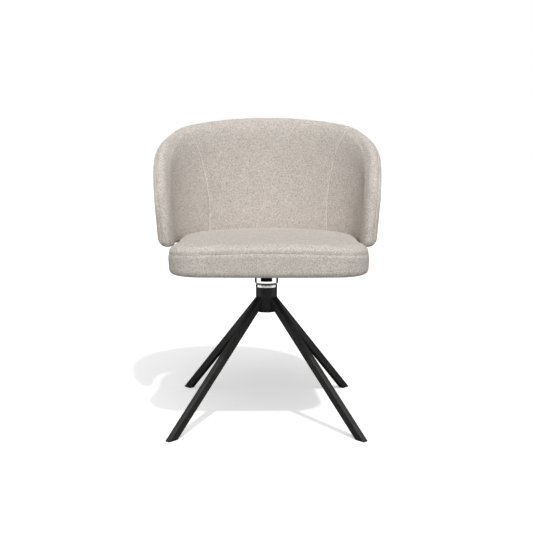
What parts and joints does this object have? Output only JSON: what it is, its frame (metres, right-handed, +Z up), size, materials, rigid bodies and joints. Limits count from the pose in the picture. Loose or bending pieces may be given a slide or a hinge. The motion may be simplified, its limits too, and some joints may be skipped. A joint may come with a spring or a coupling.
{
  "type": "swivel dining chair",
  "caption": "Upholstered tub seat with a curved wrap-around back and short arms that turns freely on a ball bearing above a steel base with splayed legs.",
  "frame": {"origin": "on the floor under the swivel axis, at the middle of the object's footprint", "axes": "+Z up along the swivel axis, -Y towards the front of the chair, +X to the left of the person who sits in it"},
  "size_m": [0.6018, 0.5417, 0.79],
  "materials": {
    "powder_black": "satin black powder coat",
    "polished_chrome": "polished chrome plate",
    "bright_steel": "bright steel, lightly oiled",
    "zinc_steel": "zinc-plated fasteners",
    "bearing_plastic": "natural acetal",
    "black_plastic": "black moulded plastic",
    "greige_weave": "light warm grey-beige melange weave",
    "cushion_foam": "upholstery foam",
    "plywood": "birch plywood",
    "dust_fleece": "black non-woven fleece"
  },
  "bodies": {
    "base": {"base_hub": "powder_black", "hub_bottom_cap": "black_plastic", "bush_lower": "bearing_plastic", "bush_upper": "bearing_plastic", "lower_race": "bright_steel", "leg_rear_left": "powder_black", "leg_rear_right": "powder_black", "leg_front_right": "powder_black", "leg_front_left": "powder_black", "glide_rear_left": "black_plastic", "glide_rear_right": "black_plastic", "glide_front_right": "black_plastic", "glide_front_left": "black_plastic"},
    "bearing_cage": {"ball_cage": "bearing_plastic", "bearing_balls": "bright_steel"},
    "seat": {"seat_plate": "powder_black", "back_bracket_left": "powder_black", "back_bracket_right": "powder_black", "swivel_collar": "polished_chrome", "upper_race": "bright_steel", "spindle": "bright_steel", "seat_bolts": "zinc_steel", "seat_washers": "zinc_steel", "seat_inserts": "zinc_steel", "bracket_inserts": "zinc_steel", "bracket_bolts": "zinc_steel", "back_screws": "zinc_steel", "retaining_ring": "zinc_steel", "thrust_washer": "zinc_steel", "seat_cover_band": "greige_weave", "seat_cover_top": "greige_weave", "back_cover_centre": "greige_weave", "back_cover_left": "greige_weave", "back_cover_right": "greige_weave", "back_cover_outer": "greige_weave", "seat_foam": "cushion_foam", "back_foam_front": "cushion_foam", "back_foam_rear": "cushion_foam", "arm_roll_left": "cushion_foam", "arm_roll_right": "cushion_foam", "seat_board": "plywood", "back_shell": "plywood", "dust_cover": "dust_fleece"}
  },
  "joints": [
    {"name": "seat_swivel", "type": "hinge", "parent": "base", "child": "seat", "pos_m": [0, 0, 0.35], "axis": [0, 0, 1], "continuous": true},
    {"name": "cage_turn", "type": "hinge", "parent": "base", "child": "bearing_cage", "pos_m": [0, 0, 0.35], "axis": [0, 0, 1], "continuous": true}
  ],
  "couplings": [
    {"joint": "cage_turn", "follows": "seat_swivel", "ratio": 0.5}
  ]
}
